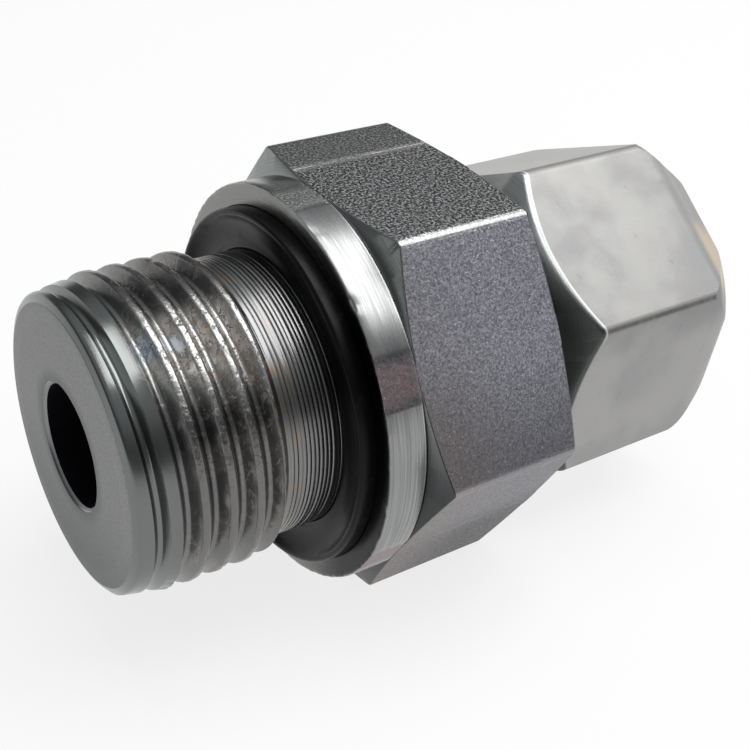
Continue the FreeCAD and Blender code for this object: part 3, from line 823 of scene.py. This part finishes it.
def nutOutline(n):
    grooveStart = math.degrees(math.asin((n["boreRadius"] - n["shankRadius"]) / n["wireChannel"]))
    outline = [(n["nearX"] + n["boreBreak"], n["boreRadius"]), (n["nearX"] + 0.08, n["boreRadius"] + 0.1)]
    outline += [(n["nearX"], n["boreRadius"] + n["boreBreak"]), (n["nearX"], 8.5)]
    outline += [(n["nearX"], n["nearRadius"] - 0.25), (n["nearX"] + 0.03, n["nearRadius"] - 0.1)]
    outline += [(n["nearX"] + slopeRun(0.1, n["nearSlope"]), n["nearRadius"] + 0.1)]
    outline += [(n["nearX"] + slopeRun(n["blankRadius"] - n["nearRadius"], n["nearSlope"]), n["blankRadius"])]
    corner = n["farCornerX"] + n["farCornerRadius"] - n["blankRadius"]
    outline += [(corner - drop[0], n["blankRadius"] - drop[1]) for drop in n["farDrops"]]
    outline += [(n["farX"] - n["rimBreak"], n["farRimRadius"]), (n["farX"] - 0.04, n["farRimRadius"] - 0.1)]
    outline += [(n["farX"], n["farRimRadius"] - 0.25), (n["farX"], 9.8), (n["farX"], n["mouthRadius"])]
    outline += [(n["farX"] - (n["mouthRadius"] - n["threadRadius"]), n["threadRadius"])]
    outline += [(n["wallEndX"] + n["threadRadius"] - n["boreRadius"], n["threadRadius"])]
    outline += [(n["wallEndX"], n["boreRadius"])]
    outline += arc(n["wireX"], n["shankRadius"], n["wireChannel"], grooveStart, 180 - grooveStart, 12)
    return outline


def makeNut(n, thread):
    bm = turn(nutOutline(n), n["segments"])
    tap = screwThread(thread, thread["startX"], n["farX"] + 0.8)
    bmesh.ops.holes_fill(tap, edges=openEdges(tap), sides=0)
    bmesh.ops.recalc_face_normals(tap, faces=tap.faces[:])
    bm = cutTogether(bm, tap, "DIFFERENCE")
    bar = hexagonBar(n["flats"], n["cornerRadius"], n["nearX"] - 2, n["taperX"], n["turned"])
    pullOut(bar, n["farX"] - n["taperX"], n["taperGrowth"])
    edgesHere = [e for e in bar.edges if all(abs(v.co.x - n["taperX"]) < 1e-3 for v in e.verts)
                 and len(e.link_faces) == 2]
    bmesh.ops.bevel(bar, geom=edgesHere, offset=n["taperRound"], offset_type="OFFSET", segments=5, profile=0.5,
                    affect="EDGES", clamp_overlap=False, material=-1)
    cutToBar(bm, bar)
    bm.normal_update()
    roundRims(bm, n["nearX"] + 0.05, 19.5, 10.6, n["rimRound"], 4)
    return bm


finishPiece(makeNut(nut, nutThread), "swivelNut", "nut", "swivel_nut", [nutSteel])

wire = {"segments": 160, "sides": 20, "x": 18.52, "ringRadius": 7.0, "thickness": 1.5, "gapAngle": 18}


def makeWire(w):
    bm = bmesh.new()
    bmesh.ops.create_circle(bm, cap_ends=False, segments=w["sides"], radius=w["thickness"] / 2)
    bmesh.ops.rotate(bm, cent=(0, 0, 0), matrix=Matrix.Rotation(math.radians(90), 3, "X"), verts=bm.verts[:])
    bmesh.ops.translate(bm, vec=(w["x"], 0, w["ringRadius"]), verts=bm.verts[:])
    fromGap = Matrix.Rotation(math.radians(180 + w["gapAngle"] / 2), 3, "X")
    bmesh.ops.rotate(bm, cent=(0, 0, 0), matrix=fromGap, verts=bm.verts[:])
    bmesh.ops.spin(bm, geom=bm.verts[:] + bm.edges[:], cent=(0, 0, 0), axis=axisX, dvec=(0, 0, 0),
                   angle=math.radians(360 - w["gapAngle"]), steps=w["segments"], use_merge=False,
                   use_duplicate=False)
    bmesh.ops.holes_fill(bm, edges=openEdges(bm), sides=0)
    ends = [e for f in bm.faces if len(f.verts) > 4 for e in f.edges]
    bmesh.ops.bevel(bm, geom=ends, offset=0.12, offset_type="OFFSET", segments=2, profile=0.5, affect="EDGES",
                    clamp_overlap=True, material=-1)
    return bm


finishPiece(makeWire(wire), "retainingWire", "fitting", "retaining_wire", [wireSteel])

coneRing = {"segments": 128, "sides": 24, "x": 26.37, "ringRadius": 5.9, "thickness": 1.5}


def makeConeRing(c):
    outline = arc(c["x"], c["ringRadius"], c["thickness"] / 2, 0, 360, c["sides"])[:-1]
    return turn(outline, c["segments"])


finishPiece(makeConeRing(coneRing), "coneSealRing", "fitting", "cone_seal_ring", [blackRubber], 60)

view = {
    "lens": 61.01373696, "place": (-0.03641256, -0.06064813, 0.04779749),
    "right": (0.82934364, -0.55460391, 0.06785005), "up": (0.25944926, 0.48980267, 0.83233373),
    "forward": (0.49484867, 0.67268704, -0.55010630),
}


def makeCamera(v):
    data = bpy.data.cameras.new("camera")
    data.lens = v["lens"]
    data.sensor_width = 36
    data.clip_start = 0.002
    camera = bpy.data.objects.new("camera", data)
    columns = (Vector(v["right"]), Vector(v["up"]), -Vector(v["forward"]))
    camera.matrix_world = Matrix.Translation(v["place"]) @ Matrix(columns).transposed().to_4x4()
    bpy.context.scene.collection.objects.link(camera)
    bpy.context.scene.camera = camera


makeCamera(view)
bpy.context.scene.view_settings.view_transform = "Standard"

room = {
    "horizon": (0.9, 0.9, 0.9), "low": (0.15, 0.151, 0.155), "above": (0.45, 0.46, 0.47),
    "fadeFrom": 0.0, "fadeTo": 0.16, "riseFrom": 0.38, "riseTo": 0.78,
    "floorZ": -0.0135, "floorSize": 6.0, "floorColour": (0.86, 0.86, 0.855), "floorShare": 0.8,
    "lampDirection": (0.348, -0.085, 0.93), "lampDistance": 0.36, "lampSize": (0.3, 0.4), "lampRadiance": 3.7,
}


def makeWorld(r):
    # pale where it meets the floor, darker above that, calm overhead
    world = bpy.data.worlds.new("room")
    bpy.context.scene.world = world
    world.use_nodes = True
    tree = world.node_tree
    direction = tree.nodes.new("ShaderNodeTexCoord").outputs["Generated"]
    height = addNode(tree, "ShaderNodeSeparateXYZ", {"Vector": direction}).outputs["Z"]
    colour = blend(tree, ease(tree, height, r["fadeFrom"], r["fadeTo"]), r["horizon"], r["low"])
    colour = blend(tree, ease(tree, height, r["riseFrom"], r["riseTo"]), colour, r["above"])
    tree.links.new(colour, tree.nodes["Background"].inputs["Color"])


def makeFloor(r):
    bm = bmesh.new()
    bmesh.ops.create_grid(bm, x_segments=2, y_segments=2, size=r["floorSize"] / 2)
    bmesh.ops.translate(bm, vec=(0, 0, r["floorZ"]), verts=bm.verts[:])
    floor = makeObject(makeMesh(bm, "floor"), "floor")
    material = bpy.data.materials.new("paleFloor")
    material.use_nodes = True
    tree = material.node_tree
    shader = tree.nodes["Principled BSDF"]
    shader.inputs["Base Color"].default_value = (*r["floorColour"], 1)
    shader.inputs["Roughness"].default_value = 1.0
    shader.inputs["Specular IOR Level"].default_value = 0.0
    white = addNode(tree, "ShaderNodeEmission", {"Color": (1, 1, 1, 1), "Strength": 1.0}).outputs[0]
    path = tree.nodes.new("ShaderNodeLightPath").outputs
    seen = maths(tree, "MAXIMUM", path["Is Camera Ray"], path["Is Glossy Ray"])
    seen = maths(tree, "MAXIMUM", seen, path["Is Transmission Ray"])
    share = times(tree, seen, r["floorShare"])
    mixed = addNode(tree, "ShaderNodeMixShader", {0: share, 1: shader.outputs[0], 2: white}).outputs[0]
    tree.links.new(mixed, tree.nodes["Material Output"].inputs["Surface"])
    floor.data.materials.append(material)


def makeLamp(r):
    data = bpy.data.lights.new("overheadSoftbox", "AREA")
    data.shape = "RECTANGLE"
    data.size, data.size_y = r["lampSize"]
    data.energy = r["lampRadiance"] * math.pi * data.size * data.size_y
    lamp = bpy.data.objects.new("overheadSoftbox", data)
    direction = Vector(r["lampDirection"]).normalized()
    lamp.location = direction * r["lampDistance"]
    lamp.rotation_euler = (-direction).to_track_quat("-Z", "Y").to_euler()
    bpy.context.scene.collection.objects.link(lamp)


makeWorld(room)
makeFloor(room)
makeLamp(room)
